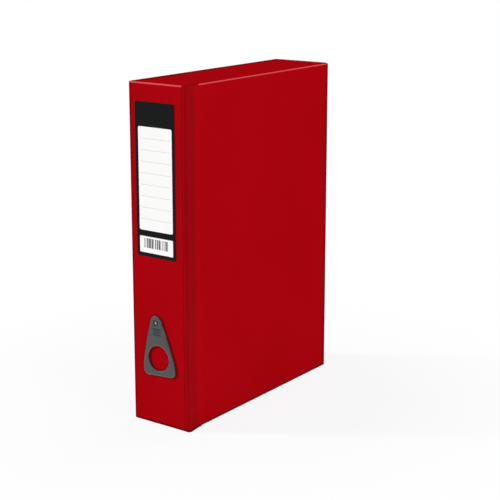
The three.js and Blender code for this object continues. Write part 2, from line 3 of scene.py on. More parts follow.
import bpy
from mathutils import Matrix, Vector


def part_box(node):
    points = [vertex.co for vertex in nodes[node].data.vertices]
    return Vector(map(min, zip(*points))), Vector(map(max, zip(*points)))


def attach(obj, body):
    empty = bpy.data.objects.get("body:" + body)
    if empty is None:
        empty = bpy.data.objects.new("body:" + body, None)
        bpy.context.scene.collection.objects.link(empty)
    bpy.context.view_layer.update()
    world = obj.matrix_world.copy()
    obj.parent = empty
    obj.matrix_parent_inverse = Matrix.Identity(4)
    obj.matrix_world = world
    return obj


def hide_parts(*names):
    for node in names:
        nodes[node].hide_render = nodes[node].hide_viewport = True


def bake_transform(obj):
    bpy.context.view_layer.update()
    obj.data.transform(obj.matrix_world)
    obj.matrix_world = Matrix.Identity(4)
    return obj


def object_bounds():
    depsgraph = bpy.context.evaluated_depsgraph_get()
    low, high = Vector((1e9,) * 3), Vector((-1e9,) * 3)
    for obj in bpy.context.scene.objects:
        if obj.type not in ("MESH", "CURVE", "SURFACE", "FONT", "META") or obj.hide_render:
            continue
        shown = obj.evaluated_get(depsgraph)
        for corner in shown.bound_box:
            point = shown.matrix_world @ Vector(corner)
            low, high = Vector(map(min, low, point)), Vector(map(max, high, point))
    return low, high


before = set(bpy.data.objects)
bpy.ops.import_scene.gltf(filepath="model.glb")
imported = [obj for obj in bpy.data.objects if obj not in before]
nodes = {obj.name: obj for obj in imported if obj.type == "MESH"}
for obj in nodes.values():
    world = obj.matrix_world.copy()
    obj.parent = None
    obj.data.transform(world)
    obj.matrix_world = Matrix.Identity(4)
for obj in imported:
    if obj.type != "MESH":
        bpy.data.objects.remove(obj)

cad_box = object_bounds()

# The camera stands a little above the lid side of the spine, as the photograph was taken.
# Its lens is long, and a small shift keeps the box's upright edges nearly parallel.
CAMERA_PLACE = (0.8434, -1.1306, 0.5292)
CAMERA_PITCH = radians(12.87)
CAMERA_TURN = radians(36.06)
CAMERA_LENS = 93.07
CAMERA_SHIFT = -0.07

bpy.ops.object.camera_add(
    location=CAMERA_PLACE, rotation=(pi / 2 - CAMERA_PITCH, 0, CAMERA_TURN)
)
camera = bpy.context.object
camera.data.lens = CAMERA_LENS
camera.data.sensor_width = 36
camera.data.shift_y = CAMERA_SHIFT
camera.data.clip_end = 50
bpy.context.scene.camera = camera


# The boards are greyboard wrapped in a smooth, printed and sealed paper, solid red all over.
# The paper is drawn tight round every edge, so the edges are soft and the faces almost plain.
MM = 0.001
COVER_RED = (0.385, 0.0018, 0.0048)
COVER_SHADE = (0.36, 0.0014, 0.0040)
HIGHLIGHT_RED = (0.72, 0.085, 0.095)
PAINTED_SHADE_RED = (0.10, 0.0020, 0.0035)
BOARD_ROUND = 1.2 * MM
BOARD_SMOOTH = radians(40)
box_low, box_high = cad_box

# The covering gets painted shade, darker along the box's lower, rear and fore-edge edges.
# Each pair says how far in from the edge, and how much. On the top face it runs from one
# distance to another.
SHADE_FOOT = (3.4 * MM, 0.85)
SHADE_REAR = ((2.8 * MM, 0.80), (6 * MM, 0.12))
SHADE_FORE_EDGE = ((-4.2 * MM, 0.85), (-9 * MM, 0.22))
SHADE_TOP_REAR = (13 * MM, 3 * MM, 0.85)

# The upper edges get a painted highlight, paler red, but not where the hinge strip covers them.
HIGHLIGHT_REACH = 2.1 * MM
STRIP_START_Y = -126 * MM
STRIP_END_Y = -110 * MM


def new_material(name):
    """A new material, its node tree and its shader."""
    material = bpy.data.materials.new(name)
    material.use_nodes = True
    tree = material.node_tree
    return material, tree, tree.nodes["Principled BSDF"]


def noise(tree, scale, detail=2.0, roughness=0.5, stretch=None):
    """Noise on the piece's own coordinates, stretched by a Mapping node where it has a grain."""
    place = tree.nodes.new("ShaderNodeTexCoord")
    texture = tree.nodes.new("ShaderNodeTexNoise")
    texture.inputs["Scale"].default_value = scale
    texture.inputs["Detail"].default_value = detail
    texture.inputs["Roughness"].default_value = roughness
    if stretch:
        mapping = tree.nodes.new("ShaderNodeMapping")
        mapping.inputs["Scale"].default_value = stretch
        tree.links.new(place.outputs["Object"], mapping.inputs["Vector"])
        tree.links.new(mapping.outputs["Vector"], texture.inputs["Vector"])
    else:
        tree.links.new(place.outputs["Object"], texture.inputs["Vector"])
    return texture.outputs["Fac"]


def spread(tree, source, low, high, dark, light):
    """A ramp that turns a grey pattern into a colour between two others."""
    ramp = tree.nodes.new("ShaderNodeValToRGB")
    ramp.color_ramp.elements[0].position = low
    ramp.color_ramp.elements[1].position = high
    ramp.color_ramp.elements[0].color = (*dark, 1)
    ramp.color_ramp.elements[1].color = (*light, 1)
    tree.links.new(source, ramp.inputs["Fac"])
    return ramp.outputs["Color"]


def vary_roughness(tree, shader, source, low, high):
    """Lets a pattern carry the shader's roughness from low to high."""
    span = tree.nodes.new("ShaderNodeMapRange")
    span.inputs["To Min"].default_value = low
    span.inputs["To Max"].default_value = high
    tree.links.new(source, span.inputs["Value"])
    tree.links.new(span.outputs["Result"], shader.inputs["Roughness"])


def bump(tree, shader, layers):
    """Bumps laid one over another: (height pattern, strength, depth in metres)."""
    normal = None
    for height, strength, depth in layers:
        node = tree.nodes.new("ShaderNodeBump")
        node.inputs["Strength"].default_value = strength
        node.inputs["Distance"].default_value = depth
        tree.links.new(height, node.inputs["Height"])
        if normal:
            tree.links.new(normal, node.inputs["Normal"])
        normal = node.outputs["Normal"]
    tree.links.new(normal, shader.inputs["Normal"])


def between(tree, source, low, high):
    """Rises smoothly from 0 to 1 as the source goes from low to high."""
    span = tree.nodes.new("ShaderNodeMapRange")
    span.interpolation_type = "SMOOTHERSTEP"
    span.inputs["From Min"].default_value = low
    span.inputs["From Max"].default_value = high
    tree.links.new(source, span.inputs["Value"])
    return span.outputs["Result"]


def compare(tree, operation, a, b):
    """One Math node; a and b are sockets or numbers."""
    node = tree.nodes.new("ShaderNodeMath")
    node.operation = operation
    for socket, value in zip(node.inputs, (a, b)):
        if isinstance(value, bpy.types.NodeSocket):
            tree.links.new(value, socket)
        else:
            socket.default_value = value
    return node.outputs[0]


def blended(tree, factor, a, b):
    """Mixes two colours, each a socket or a tuple."""
    mix = tree.nodes.new("ShaderNodeMix")
    mix.data_type = "RGBA"
    for socket, value in ((mix.inputs["A"], a), (mix.inputs["B"], b)):
        if isinstance(value, bpy.types.NodeSocket):
            tree.links.new(value, socket)
        else:
            socket.default_value = (*value, 1)
    tree.links.new(factor, mix.inputs["Factor"])
    return mix.outputs["Result"]


def split(tree, output):
    """The x, y and z of a Texture Coordinate output."""
    place = tree.nodes.new("ShaderNodeTexCoord")
    parts = tree.nodes.new("ShaderNodeSeparateXYZ")
    tree.links.new(place.outputs[output], parts.inputs["Vector"])
    return parts.outputs["X"], parts.outputs["Y"], parts.outputs["Z"]


def rounding(tree, side):
    """1 on the rounding away from one side, 0 on the flat faces on either side of it."""
    turned = between(tree, side, -0.12, -0.45)
    flat = between(tree, side, -0.85, -0.98)
    return compare(tree, "MULTIPLY", turned, compare(tree, "SUBTRACT", 1.0, flat))


def near_edge(tree, place, facing, edge, reach, share):
    """Rises to a share close to one edge of the box, on the faces that don't look that way."""
    close = between(tree, place, edge + reach, edge + reach * 0.5)
    aside = between(tree, compare(tree, "ABSOLUTE", facing, 0), 0.95, 0.6)
    return compare(tree, "MULTIPLY", compare(tree, "MULTIPLY", close, aside), share)


def covering_paper(name, light, dark, edge_highlight=None):
    """Covering paper: its edges get painted shade, darker below, behind and along the fore-edge,
    and with a highlight colour its upper edges get a painted highlight, paler."""
    material, tree, shader = new_material(name)
    fibres = noise(tree, 2600, 3, 0.6)
    board = noise(tree, 9, 2)
    sheen = noise(tree, 60, 2)
    colour = spread(tree, board, 0.35, 0.65, dark, light)
    facing_x, facing_y, facing_z = split(tree, "Normal")
    across, along, height = split(tree, "Object")
    # Painted shade: the roundings that turn down or back, and stripes along the box's lower, rear
    # and fore-edge edges, are painted darker.
    painted_shade = compare(tree, "MAXIMUM", rounding(tree, facing_x), rounding(tree, facing_z))
    for place, facing, edge, shadings in (
        (height, facing_z, box_low.z, (SHADE_FOOT,)),
        (across, facing_x, box_low.x, SHADE_REAR),
        (along, facing_y, box_high.y, SHADE_FORE_EDGE),
    ):
        for reach, share in shadings:
            stripe = near_edge(tree, place, facing, edge, reach, share)
            painted_shade = compare(tree, "MAXIMUM", painted_shade, stripe)
    outer, inner, share = SHADE_TOP_REAR
    rear = between(tree, across, box_low.x + outer, box_low.x + inner)
    rear = compare(tree, "MULTIPLY", rear, between(tree, facing_z, 0.6, 0.95))
    painted_shade = compare(tree, "MAXIMUM", painted_shade, compare(tree, "MULTIPLY", rear, share))
    colour = blended(tree, painted_shade, colour, PAINTED_SHADE_RED)
    # Painted highlight: with a highlight colour, the roundings of the upper edges are painted
    # paler.
    if edge_highlight:
        near_top = between(tree, height, box_high.z - HIGHLIGHT_REACH, box_high.z - HIGHLIGHT_REACH / 2)
        level = between(tree, facing_z, 0.75, 0.95)
        behind = between(tree, facing_x, -0.05, -0.2)
        edge = compare(tree, "MULTIPLY", near_top, compare(tree, "SUBTRACT", 1.0, level))
        edge = compare(tree, "MULTIPLY", edge, compare(tree, "SUBTRACT", 1.0, behind))
        before_strip = compare(tree, "LESS_THAN", along, STRIP_START_Y)
        past_strip = compare(tree, "GREATER_THAN", along, STRIP_END_Y)
        bare = compare(tree, "MAXIMUM", before_strip, past_strip)
        edge = compare(tree, "MULTIPLY", edge, bare)
        colour = blended(tree, edge, colour, edge_highlight)
    tree.links.new(colour, shader.inputs["Base Color"])
    vary_roughness(tree, shader, sheen, 0.48, 0.58)
    shader.inputs["Specular IOR Level"].default_value = 0
    bump(tree, shader, [(board, 0.25, 0.0006), (fibres, 0.16, 0.00004)])
    return material


cover_paper = covering_paper("red_covering_paper", COVER_RED, COVER_SHADE, HIGHLIGHT_RED)
plain_paper = covering_paper("red_wall_paper", COVER_RED, COVER_SHADE)


def only(piece):
    """Leaves one object selected and active."""
    bpy.ops.object.select_all(action="DESELECT")
    piece.select_set(True)
    bpy.context.view_layer.objects.active = piece


def settle(piece):
    """Puts a piece's place into its mesh, so that its object sits at the origin."""
    only(piece)
    bpy.ops.object.transform_apply(location=True, rotation=True, scale=True)


def finish_with(piece, kind, **values):
    """Adds one modifier, sets it and applies it."""
    only(piece)
    modifier = piece.modifiers.new(kind.lower(), kind)
    for key, value in values.items():
        setattr(modifier, key, value)
    bpy.ops.object.modifier_apply(modifier=modifier.name)


def shade_true(piece, angle):
    """Smooth shading over the roundings, with the large faces kept truly flat."""
    only(piece)
    bpy.ops.object.shade_smooth_by_angle(angle=angle)
    finish_with(piece, "WEIGHTED_NORMAL", keep_sharp=True)


def slab(name, low, high):
    """A cube primitive stretched between two corners."""
    low, high = Vector(low), Vector(high)
    bpy.ops.object.select_all(action="DESELECT")
    bpy.ops.mesh.primitive_cube_add(size=1, location=(low + high) / 2)
    piece = bpy.context.object
    piece.name = name
    piece.scale = high - low
    settle(piece)
    return piece


def dress(piece, material, body, slot, *replaced):
    """Gives a finished piece its material, the body it rides on and the nodes it stands for."""
    piece.data.materials.clear()
    piece.data.materials.append(material)
    if body:
        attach(piece, body)
    if replaced:
        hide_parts(*replaced)


def wrap_board(node, body, material, edge, steps):
    """A covered board: its edges are rounded, and its faces keep a flat shading."""
    low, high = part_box(node)
    piece = slab("covered_" + node, low, high)
    finish_with(piece, "BEVEL", width=edge, segments=steps, limit_method="ANGLE")
    shade_true(piece, BOARD_SMOOTH)
    dress(piece, material, body, "red_covering", node)


for node, body in (("base_board", "case"), ("spine_board", "case"), ("lid_board", "lid")):
    wrap_board(node, body, cover_paper, BOARD_ROUND, 4)


# The walls are plain board glued between the base and the covers, wrapped in the same paper.
# Their outsides lie level with the boards, so only a fine line shows where they meet.
WALL_ROUND = 0.5 * MM

for node in ("bottom_wall", "top_wall", "fore_edge_wall"):
    wrap_board(node, "case", plain_paper, WALL_ROUND, 3)


# The hinge is a strip of covering over a rounded rail of board, darker than the rest by painted
# shade.
# It starts on the spine, wraps the corner and slopes down to the lid's edge.
TAPE_SHADED_RED = (0.30, 0.0036, 0.0062)
TAPE_SHADE = (0.27, 0.0024, 0.0045)
TAPE_THICK = 0.25 * MM
TAPE_LAP = 6 * MM
TAPE_STEP = 0.04 * MM
TAPE_END_INSET = 0.3 * MM
TAPE_BED_GAP = 0.02 * MM
RAIL_CORNER = 3.4 * MM
RAIL_CORNER_STEPS = 14
RAIL_SLOPE = radians(9)
RAIL_END_ROUND = 0.8 * MM
RAIL_SMOOTH = radians(35)
TAPE_SMOOTH = radians(50)
JOINT_WIDTH = 10.5 * MM
JOINT_SAG = 0.15 * MM
TROUGH_STEPS = 16
TAPE_SPINE_FADE = 3.2 * MM
TAPE_LID_FADE = (-111 * MM, -123 * MM)
RIDGE_RISE_Y = -131.2 * MM
RIDGE_FALL_Y = (-127.2 * MM, -129.2 * MM)
RIDGE_HIGHLIGHT_SHARE = 0.45

rail_low, rail_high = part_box("hinge_rail")
lid_low, lid_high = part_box("lid_board")
spine_low, spine_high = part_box("spine_board")

# The strip gets painted shade, darkest in the fold, and a paler painted highlight along its
# ridge.
# The painted shade fades to the covering's red at the strip's edges.
tape_paper, tree, shader = new_material("red_hinge_tape")
across, along, upward = split(tree, "Object")
from_spine = between(tree, across, spine_high.x, spine_high.x + TAPE_SPINE_FADE)
to_lid = between(tree, along, *TAPE_LID_FADE)
ridge_rise = between(tree, along, rail_low.y, RIDGE_RISE_Y)
ridge_fall = between(tree, along, *RIDGE_FALL_Y)
ridge_highlight = compare(tree, "MULTIPLY", ridge_rise, ridge_fall)
shade = compare(tree, "MULTIPLY", from_spine, to_lid)
off_ridge = compare(tree, "SUBTRACT", 1.0, compare(tree, "MULTIPLY", ridge_highlight, RIDGE_HIGHLIGHT_SHARE))
shade = compare(tree, "MULTIPLY", shade, off_ridge)
weave = noise(tree, 2600, 3, 0.6)
wander = noise(tree, 14, 2)
fold_shade = spread(tree, wander, 0.35, 0.65, TAPE_SHADE, TAPE_SHADED_RED)
fold_shade = blended(tree, shade, COVER_RED, fold_shade)
# Painted shade along the strip's foot, as on the covering.
painted_shade = near_edge(tree, upward, split(tree, "Normal")[2], rail_low.z, *SHADE_FOOT)
tree.links.new(blended(tree, painted_shade, fold_shade, PAINTED_SHADE_RED), shader.inputs["Base Color"])
shader.inputs["Specular IOR Level"].default_value = 0
vary_roughness(tree, shader, wander, 0.5, 0.6)
bump(tree, shader, [(weave, 0.2, 0.00005)])


def arc(centre_x, centre_y, radius, start, end, steps):
    """Points of an arc in the level plane."""
    return [
        (
            centre_x + radius * cos(start + (end - start) * i / steps),
            centre_y + radius * sin(start + (end - start) * i / steps),
        )
        for i in range(steps + 1)
    ]


def corner_section(inset):
    """The rail's outside seen from above, from the spine to the joint, drawn in by inset."""
    radius = RAIL_CORNER - inset
    centre_x = rail_high.x - RAIL_CORNER
    centre_y = rail_low.y + RAIL_CORNER
    points = [(spine_high.x, rail_low.y + inset)]
    points += arc(centre_x, centre_y, radius, -pi / 2, RAIL_SLOPE, RAIL_CORNER_STEPS)
    last_x, last_y = points[-1]
    points.append((last_x - (RAIL_JOINT_Y - last_y) * tan(RAIL_SLOPE), RAIL_JOINT_Y))
    return points


def prism(name, section, closed, bottom, top):
    """A level section of points raised from one height to another."""
    bpy.ops.object.select_all(action="DESELECT")
    bpy.ops.mesh.primitive_plane_add(size=1)
    piece = bpy.context.object
    piece.name = name
    bpy.ops.object.mode_set(mode="EDIT")
    bpy.ops.mesh.select_all(action="SELECT")
    bpy.ops.mesh.delete(type="VERT")
    bpy.ops.object.mode_set(mode="OBJECT")
    count = len(section)
    edges = [(i, (i + 1) % count) for i in range(count if closed else count - 1)]
    piece.data.from_pydata([(x, y, bottom) for x, y in section], edges, [])
    only(piece)
    bpy.ops.object.mode_set(mode="EDIT")
    bpy.ops.mesh.select_all(action="SELECT")
    if closed:
        bpy.ops.mesh.edge_face_add()
    bpy.ops.mesh.extrude_region_move(TRANSFORM_OT_translate={"value": (0, 0, top - bottom)})
    bpy.ops.mesh.select_all(action="SELECT")
    bpy.ops.mesh.normals_make_consistent(inside=False)
    bpy.ops.object.mode_set(mode="OBJECT")
    settle(piece)
    return piece


RAIL_JOINT_Y = lid_low.y - JOINT_WIDTH
wall_edge_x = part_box("top_wall")[1].x
inside = [
    (wall_edge_x, RAIL_JOINT_Y), (wall_edge_x, spine_high.y), (spine_high.x, spine_high.y),
]
rail_section = corner_section(TAPE_THICK + TAPE_BED_GAP) + inside
rail = prism("covered_hinge_rail", rail_section, True, rail_low.z, rail_high.z)
finish_with(
    rail, "BEVEL", width=RAIL_END_ROUND, segments=3, limit_method="ANGLE", angle_limit=radians(60)
)
shade_true(rail, RAIL_SMOOTH)
dress(rail, plain_paper, "case", "red_covering", "hinge_rail")

face = corner_section(TAPE_THICK / 2)
joint_x, joint_y = face.pop()
end_x = lid_high.x - TAPE_THICK / 2 + TAPE_STEP
end_y = lid_low.y + TAPE_LAP
for i in range(TROUGH_STEPS + 1):
    t = i / TROUGH_STEPS
    sag = JOINT_SAG * sin(pi * t) ** 2
    face.append((joint_x + (end_x - joint_x) * t - sag, joint_y + (end_y - joint_y) * t))
tape = prism(
    "hinge_tape", face, False, rail_low.z + TAPE_END_INSET, rail_high.z - TAPE_END_INSET
)
finish_with(tape, "SOLIDIFY", thickness=TAPE_THICK, offset=0)
bpy.ops.object.shade_smooth_by_angle(angle=TAPE_SMOOTH)
dress(tape, tape_paper, None, "red_covering", "hinge_covering")
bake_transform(tape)


# The inside is lined with a pale paper that covers the boards up to a red margin.
# It is thin, matt and faintly flecked, and glued flat.
LINING_LIGHT = (0.74, 0.72, 0.68)
LINING_FLECK = (0.60, 0.58, 0.55)

lining_paper, tree, shader = new_material("flecked_lining_paper")
flecks = noise(tree, 700, 4, 0.7)
cloud = noise(tree, 25, 3)
tree.links.new(
    spread(tree, flecks, 0.38, 0.55, LINING_FLECK, LINING_LIGHT), shader.inputs["Base Color"]
)
vary_roughness(tree, shader, cloud, 0.72, 0.86)
shader.inputs["Specular IOR Level"].default_value = 0.3
bump(tree, shader, [(flecks, 0.25, 0.00005)])


def paper_on(node, material):
    """Puts a material on a sheet whose plain solid is already right."""
    nodes[node].data.materials.clear()
    nodes[node].data.materials.append(material)


for node in ("base_lining", "wall_lining", "lid_lining"):
    paper_on(node, lining_paper)


# The label is one piece of coated paper glued to the spine: a near-black printed border round
# a ruled white field for writing and a smaller white field with stripes that mean nothing.
INK = (0.0075, 0.0080, 0.0085)
INK_THIN = tuple(share * 1.25 for share in INK)
PAPER = (0.93, 0.93, 0.92)
RULE_GREY = (0.62, 0.62, 0.64)
RULE_ROWS = 9
RULE_WIDTH = 0.45 * MM
RULE_MARGIN = 2.0 * MM
STRIPE_BLACK = (0.03, 0.03, 0.035)

label_ink, tree, shader = new_material("label_black_print")
grain = noise(tree, 1800, 2)
tree.links.new(spread(tree, grain, 0.3, 0.7, INK, INK_THIN), shader.inputs["Base Color"])
vary_roughness(tree, shader, grain, 0.30, 0.38)
shader.inputs["Specular IOR Level"].default_value = 0.03
bump(tree, shader, [(grain, 0.1, 0.00003)])


def label_paper(name, field, mark_colour, marks):
    """White coated paper; marks(tree, x, z, low, high) gives 1 where a field has print."""
    material, tree, shader = new_material(name)
    place_x, _, place_z = split(tree, "Object")
    where = marks(tree, place_x, place_z, *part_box(field))
    tree.links.new(blended(tree, where, PAPER, mark_colour), shader.inputs["Base Color"])
    fine = noise(tree, 1500, 2)
    vary_roughness(tree, shader, fine, 0.42, 0.52)
    shader.inputs["Specular IOR Level"].default_value = 0.3
    bump(tree, shader, [(fine, 0.12, 0.00003)])
    return material


def within(tree, pattern, limits):
    """Keeps a pattern only between limits: (place, low, high)."""
    for place, low, high in limits:
        pattern = compare(tree, "MULTIPLY", pattern, compare(tree, "GREATER_THAN", place, low))
        pattern = compare(tree, "MULTIPLY", pattern, compare(tree, "LESS_THAN", place, high))
    return pattern


def ruled_lines(tree, x, z, low, high):
    """Fine lines at even heights for writing."""
    pitch = (high.z - low.z) / RULE_ROWS
    row = compare(tree, "DIVIDE", compare(tree, "SUBTRACT", z, low.z), pitch)
    nearest = compare(tree, "ROUND", row, 0)
    off = compare(tree, "ABSOLUTE", compare(tree, "SUBTRACT", row, nearest), 0)
    line = compare(tree, "LESS_THAN", off, RULE_WIDTH / 2 / pitch)
    return within(tree, line, (
        (x, low.x + RULE_MARGIN, high.x - RULE_MARGIN),
        (z, low.z + pitch / 2, high.z - pitch / 2),
    ))


STRIPE_LEFT = 5.8 * MM
STRIPE_RIGHT = 7.0 * MM
STRIPE_FOOT = 5.2 * MM
STRIPE_HEAD = 2.0 * MM
STRIPE_STEP = 2.3 * MM
STRIPE_THIN = 0.2
STRIPE_THICK = 0.85


def plain_stripes(tree, x, z, low, high):
    """Upright stripes at even places, each as thick as chance has it."""
    place = compare(tree, "DIVIDE", compare(tree, "SUBTRACT", x, low.x), STRIPE_STEP)
    cell = compare(tree, "FLOOR", place, 0)
    scatter = tree.nodes.new("ShaderNodeTexWhiteNoise")
    scatter.noise_dimensions = "1D"
    tree.links.new(compare(tree, "ADD", cell, 0.5), scatter.inputs["W"])
    width = tree.nodes.new("ShaderNodeMapRange")
    width.inputs["To Min"].default_value = STRIPE_THIN
    width.inputs["To Max"].default_value = STRIPE_THICK
    tree.links.new(scatter.outputs["Value"], width.inputs["Value"])
    within_cell = compare(tree, "SUBTRACT", place, cell)
    dark = compare(tree, "LESS_THAN", within_cell, width.outputs["Result"])
    return within(tree, dark, (
        (x, low.x + STRIPE_LEFT, high.x - STRIPE_RIGHT),
        (z, low.z + STRIPE_FOOT, high.z - STRIPE_HEAD),
    ))


paper_on("spine_label", label_ink)
for node, name, ink, marks in (
    ("writing_panel", "label_ruled_paper", RULE_GREY, ruled_lines),
    ("lower_panel", "label_striped_paper", STRIPE_BLACK, plain_stripes),
):
    paper_on(node, label_paper(name, node, ink, marks))


# The ring pull is one moulding of dark grey plastic: a riveted tab, a thin ribbed neck with
# cuts across where it would fold, and a loop that flares to a straight foot round the finger
# hole. It hangs a little askew.
PULL_GREY = (0.052, 0.052, 0.055)
PULL_LIGHT = (0.062, 0.061, 0.065)
PULL_SIDE_SHADE = (0.008, 0.007, 0.008)
PULL_RIM_HIGHLIGHT = (0.17, 0.15, 0.155)
RIM_TURN = (0.995, 0.97)
SIDE_TURN = (0.95, 0.78)
GROOVE_SHADE = (0.1 * MM, 0.3 * MM)
PULL_TILT = radians(4.5)
PULL_TOP = 7.9 * MM
PULL_SHOULDER = (12.9 * MM, 14 * MM)
PULL_HIP = (20.6 * MM, 41 * MM)
PULL_FOOT = (21.8 * MM, 58.3 * MM)
PULL_FOOT_CORNER = 7 * MM
PULL_SIDE_STEPS = 8
PULL_THICK = 2.3 * MM
PULL_RIM_WIDE = 1.7 * MM
PULL_RIM_DEEP = 0.85 * MM
PULL_SMOOTH = radians(32)
MERGE_REACH = 0.005 * MM
FINGER_HOLE = 13.8 * MM
FINGER_DROP = 38.8 * MM
NECK = (5.6 * MM, 14 * MM)
NECK_RECESS = 0.6 * MM
NECK_TOOL_HALF = 30 * MM
FOLD_CUTS = 12
FOLD_CUT_SHIFT = 0.05 * MM
RIB_COUNT = 5
RIB_HALF = 5.3 * MM
RIB_GROOVE = 0.75 * MM
RIB_DEPTH = 0.5 * MM
RIVET_HOLE = 1.7 * MM
BORE_RADIUS = 3.4 * MM
BORE_DEPTH = 0.7 * MM

pull_face_y = spine_low.y - PULL_THICK

pull_plastic, tree, shader = new_material("dark_grey_plastic")
sparkle = noise(tree, 1400, 2)
flow = noise(tree, 45, 2)
colour = spread(tree, flow, 0.3, 0.7, PULL_GREY, PULL_LIGHT)
# Painted light: steep sides, the counterbore's walls among them, and the rib grooves' floors get
# painted shade, near black; rims that face down get a paler painted highlight.
_, facing_y, facing_z = split(tree, "Normal")
outward = compare(tree, "ABSOLUTE", facing_y, 0)
turned_out = between(tree, outward, *RIM_TURN)
rim_highlight = compare(tree, "MULTIPLY", turned_out, between(tree, facing_z, 0, -0.1))
depth = split(tree, "Object")[1]
groove = pull_face_y + NECK_RECESS
sunk = between(tree, depth, groove + GROOVE_SHADE[0], groove + GROOVE_SHADE[1])
on_face = between(tree, outward, 0.9, 0.98)
colour = blended(tree, compare(tree, "MULTIPLY", sunk, on_face), colour, PULL_SIDE_SHADE)
colour = blended(tree, rim_highlight, colour, PULL_RIM_HIGHLIGHT)
colour = blended(tree, between(tree, outward, *SIDE_TURN), colour, PULL_SIDE_SHADE)
tree.links.new(colour, shader.inputs["Base Color"])
shader.inputs["Specular IOR Level"].default_value = 0.35
vary_roughness(tree, shader, flow, 0.40, 0.50)
bump(tree, shader, [(sparkle, 0.2, 0.00004)])

rivet_low, rivet_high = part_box("pull_rivet")
rivet_x = (rivet_low.x + rivet_high.x) / 2
rivet_z = (rivet_low.z + rivet_high.z) / 2
spine_y = spine_low.y


def pull_outline():
    """The moulding's edge, round from the right of the rivet, as (across, up) from the rivet."""
    points = arc(0, 0, PULL_TOP, 0, pi, 24)
    half, drop = PULL_HIP
    foot, length = PULL_FOOT
    middle = -(drop + length) / 2
    corner_x = foot - PULL_FOOT_CORNER
    corner_z = -length + PULL_FOOT_CORNER
    points.append((-PULL_SHOULDER[0], -PULL_SHOULDER[1]))
    side = []
    for i in range(PULL_SIDE_STEPS + 1):
        t = i / PULL_SIDE_STEPS
        side.append((
            -((1 - t) ** 2 * half + 2 * t * (1 - t) * foot + t * t * foot),
            (1 - t) ** 2 * -drop + 2 * t * (1 - t) * middle + t * t * corner_z,
        ))
    points += side
    points += arc(-corner_x, corner_z, PULL_FOOT_CORNER, pi, 1.5 * pi, 10)[1:]
    points += arc(corner_x, corner_z, PULL_FOOT_CORNER, 1.5 * pi, 2 * pi, 10)
    points += [(-x, z) for x, z in reversed(side)][1:]
    points.append((PULL_SHOULDER[0], -PULL_SHOULDER[1]))
    return points


def cut_away(piece, tool):
    """Cuts a tool's shape out of a piece."""
    finish_with(piece, "BOOLEAN", object=tool, operation="DIFFERENCE", solver="EXACT")
    bpy.data.objects.remove(tool)


bpy.ops.object.select_all(action="DESELECT")
bpy.ops.curve.primitive_bezier_circle_add(radius=FINGER_HOLE, location=(0, 0, 0))
pull = bpy.context.object
pull.name = "ring_pull_moulding"
pull.data.splines.clear()
for loop in (
    pull_outline(),
    arc(0, -FINGER_DROP, FINGER_HOLE, 0, 2 * pi, 64)[:-1],
    arc(0, 0, RIVET_HOLE, 0, 2 * pi, 24)[:-1],
):
    spline = pull.data.splines.new("POLY")
    spline.points.add(len(loop) - 1)
    for point, (x, z) in zip(spline.points, loop):
        point.co = (x, z, 0, 1)
    spline.use_cyclic_u = True
pull.data.dimensions = "2D"
pull.data.fill_mode = "BOTH"
flatten = PULL_RIM_DEEP / PULL_RIM_WIDE
pull.data.offset = -PULL_RIM_WIDE
pull.data.extrude = (PULL_THICK - PULL_RIM_DEEP) / 2 / flatten
pull.data.bevel_depth = PULL_RIM_WIDE
pull.data.bevel_resolution = 5
only(pull)
bpy.ops.object.convert(target="MESH")
pull.scale = (1, 1, flatten)
pull.location = (0, 0, -PULL_RIM_DEEP / 2)
settle(pull)
bpy.ops.object.mode_set(mode="EDIT")
bpy.ops.mesh.select_all(action="SELECT")
bpy.ops.mesh.remove_doubles(threshold=MERGE_REACH)
bpy.ops.mesh.normals_make_consistent(inside=False)
bpy.ops.mesh.bisect(
    plane_co=(0, 0, -PULL_THICK / 2), plane_no=(0, 0, 1), clear_inner=True, use_fill=True
)
bpy.ops.mesh.select_all(action="SELECT")
bpy.ops.mesh.normals_make_consistent(inside=False)
bpy.ops.object.mode_set(mode="OBJECT")
tool = slab(
    "neck_tool",
    (-NECK_TOOL_HALF, -NECK[1], PULL_THICK / 2 - NECK_RECESS),
    (NECK_TOOL_HALF, -NECK[0], PULL_THICK),
)
finish_with(tool, "BEVEL", width=0.2 * MM, segments=2)
cut_away(pull, tool)
for i in range(RIB_COUNT):
    drop = NECK[0] + (i + 0.5) * (NECK[1] - NECK[0]) / RIB_COUNT
    tool = slab(
        "rib_tool",
        (-RIB_HALF, -drop - RIB_GROOVE / 2, PULL_THICK / 2 - NECK_RECESS - RIB_DEPTH),
        (RIB_HALF, -drop + RIB_GROOVE / 2, PULL_THICK),
    )
    finish_with(tool, "BEVEL", width=0.18 * MM, segments=2)
    cut_away(pull, tool)
bpy.ops.object.select_all(action="DESELECT")
bpy.ops.mesh.primitive_cylinder_add(
    vertices=48, radius=BORE_RADIUS, depth=PULL_THICK,
    location=(0, 0, PULL_THICK - BORE_DEPTH),
)
cut_away(pull, bpy.context.object)
only(pull)
bpy.ops.object.mode_set(mode="EDIT")
for i in range(FOLD_CUTS + 1):
    level = -(NECK[0] + (NECK[1] - NECK[0]) * i / FOLD_CUTS) - FOLD_CUT_SHIFT
    bpy.ops.mesh.select_all(action="SELECT")
    bpy.ops.mesh.bisect(plane_co=(0, level, 0), plane_no=(0, 1, 0))
bpy.ops.object.mode_set(mode="OBJECT")
bpy.ops.object.shade_smooth_by_angle(angle=PULL_SMOOTH)
pull.rotation_euler = (pi / 2, -PULL_TILT, 0)
pull.location = (rivet_x, spine_y - PULL_THICK / 2, rivet_z)
settle(pull)
dress(pull, pull_plastic, None, "dark_plastic", "pull_tab", "ring_pull")


